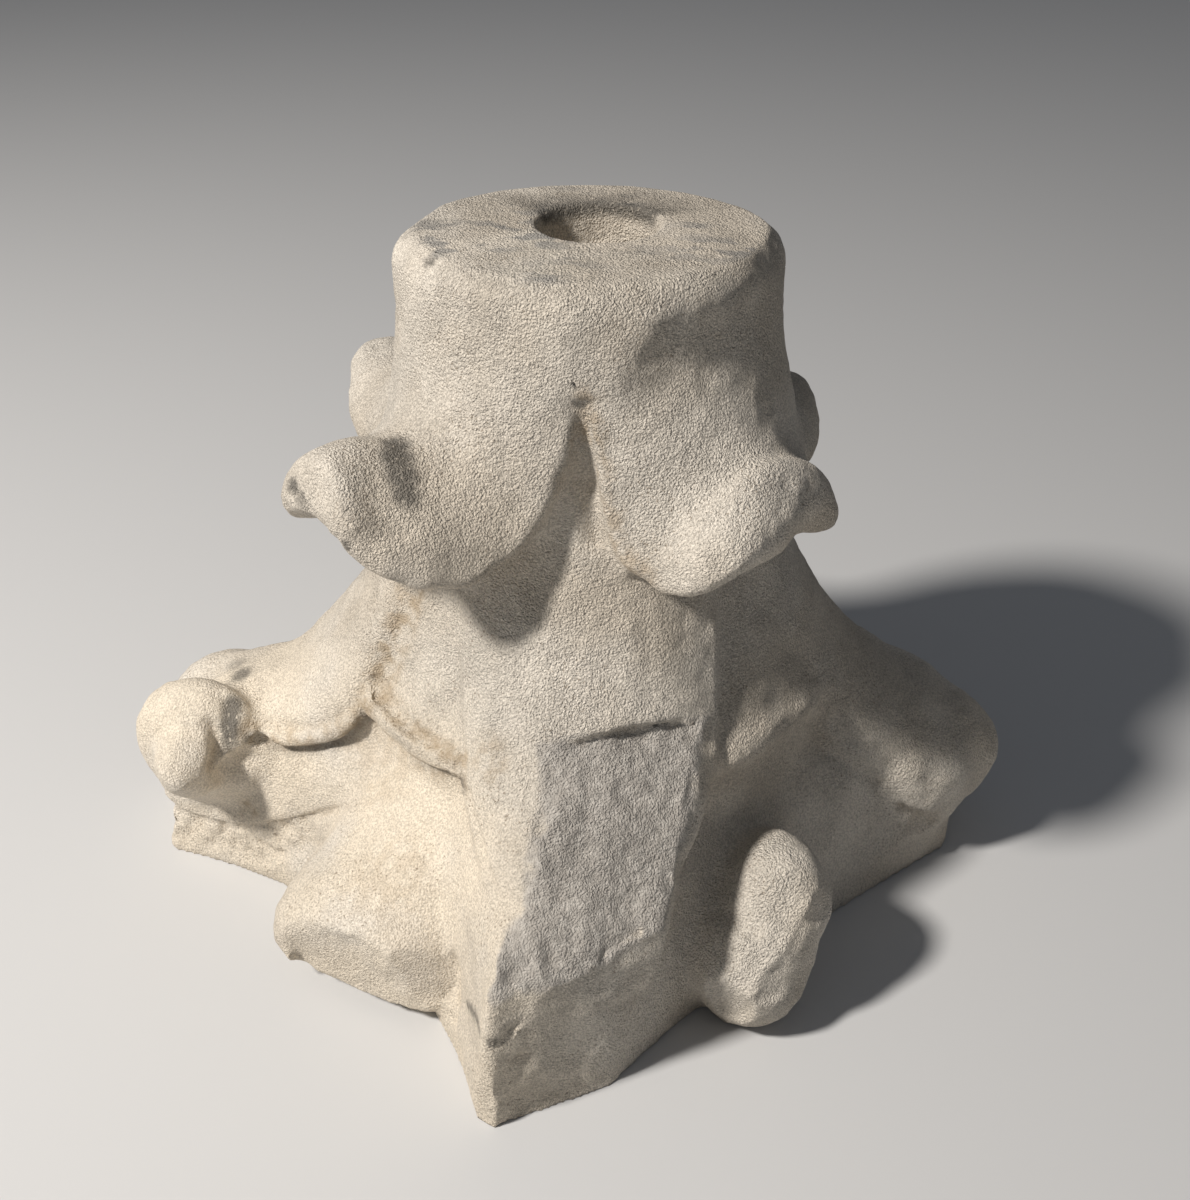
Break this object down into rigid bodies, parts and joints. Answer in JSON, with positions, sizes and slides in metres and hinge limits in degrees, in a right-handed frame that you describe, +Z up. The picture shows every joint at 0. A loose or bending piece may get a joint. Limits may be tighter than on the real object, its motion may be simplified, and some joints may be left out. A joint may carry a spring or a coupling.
{
  "type": "carved stone capital",
  "caption": "Weathered carved marble capital standing upside down on its abacus, with worn leaves, broken volutes and a round dowel socket in the neck bed.",
  "frame": {"origin": "centre of the abacus bed, which is the underside as the capital stands here, on the axis of the dowel socket", "axes": "+Z up along the socket's axis, out of the neck bed; the broken front corner points towards -Y and one whole corner towards +X"},
  "size_m": [0.4068, 0.388, 0.305],
  "materials": {
    "marble": "weathered, coarse-grained, matt"
  },
  "bodies": {
    "root": {"capital": "marble"}
  },
  "joints": []
}
